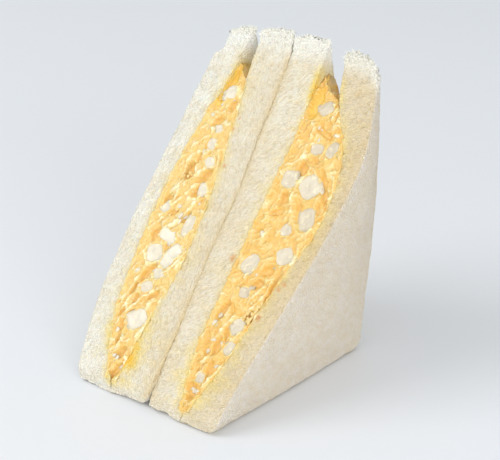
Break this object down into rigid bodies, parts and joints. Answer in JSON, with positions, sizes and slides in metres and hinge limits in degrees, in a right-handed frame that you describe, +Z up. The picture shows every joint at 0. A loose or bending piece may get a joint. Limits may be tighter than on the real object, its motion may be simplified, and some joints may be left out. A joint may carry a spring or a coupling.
{
  "type": "egg salad sandwich",
  "caption": "Crustless white bread sandwich cut corner to corner, with chopped egg filling, standing on its short edge.",
  "frame": {"origin": "middle of the footprint, on the surface it stands on", "axes": "+X across the layers, +Y from the front tip to the back edge, +Z up"},
  "size_m": [0.0888, 0.09, 0.1231],
  "materials": {
    "bread": "soft open white crumb, trimmed and cut with a knife",
    "egg_salad": "moist yellow egg and dressing with diced egg white"
  },
  "bodies": {
    "root": {"bread_outer_left": "bread", "egg_salad_left": "egg_salad", "bread_inner_left": "bread", "bread_inner_right": "bread", "egg_salad_right": "egg_salad", "bread_outer_right": "bread"}
  },
  "joints": []
}
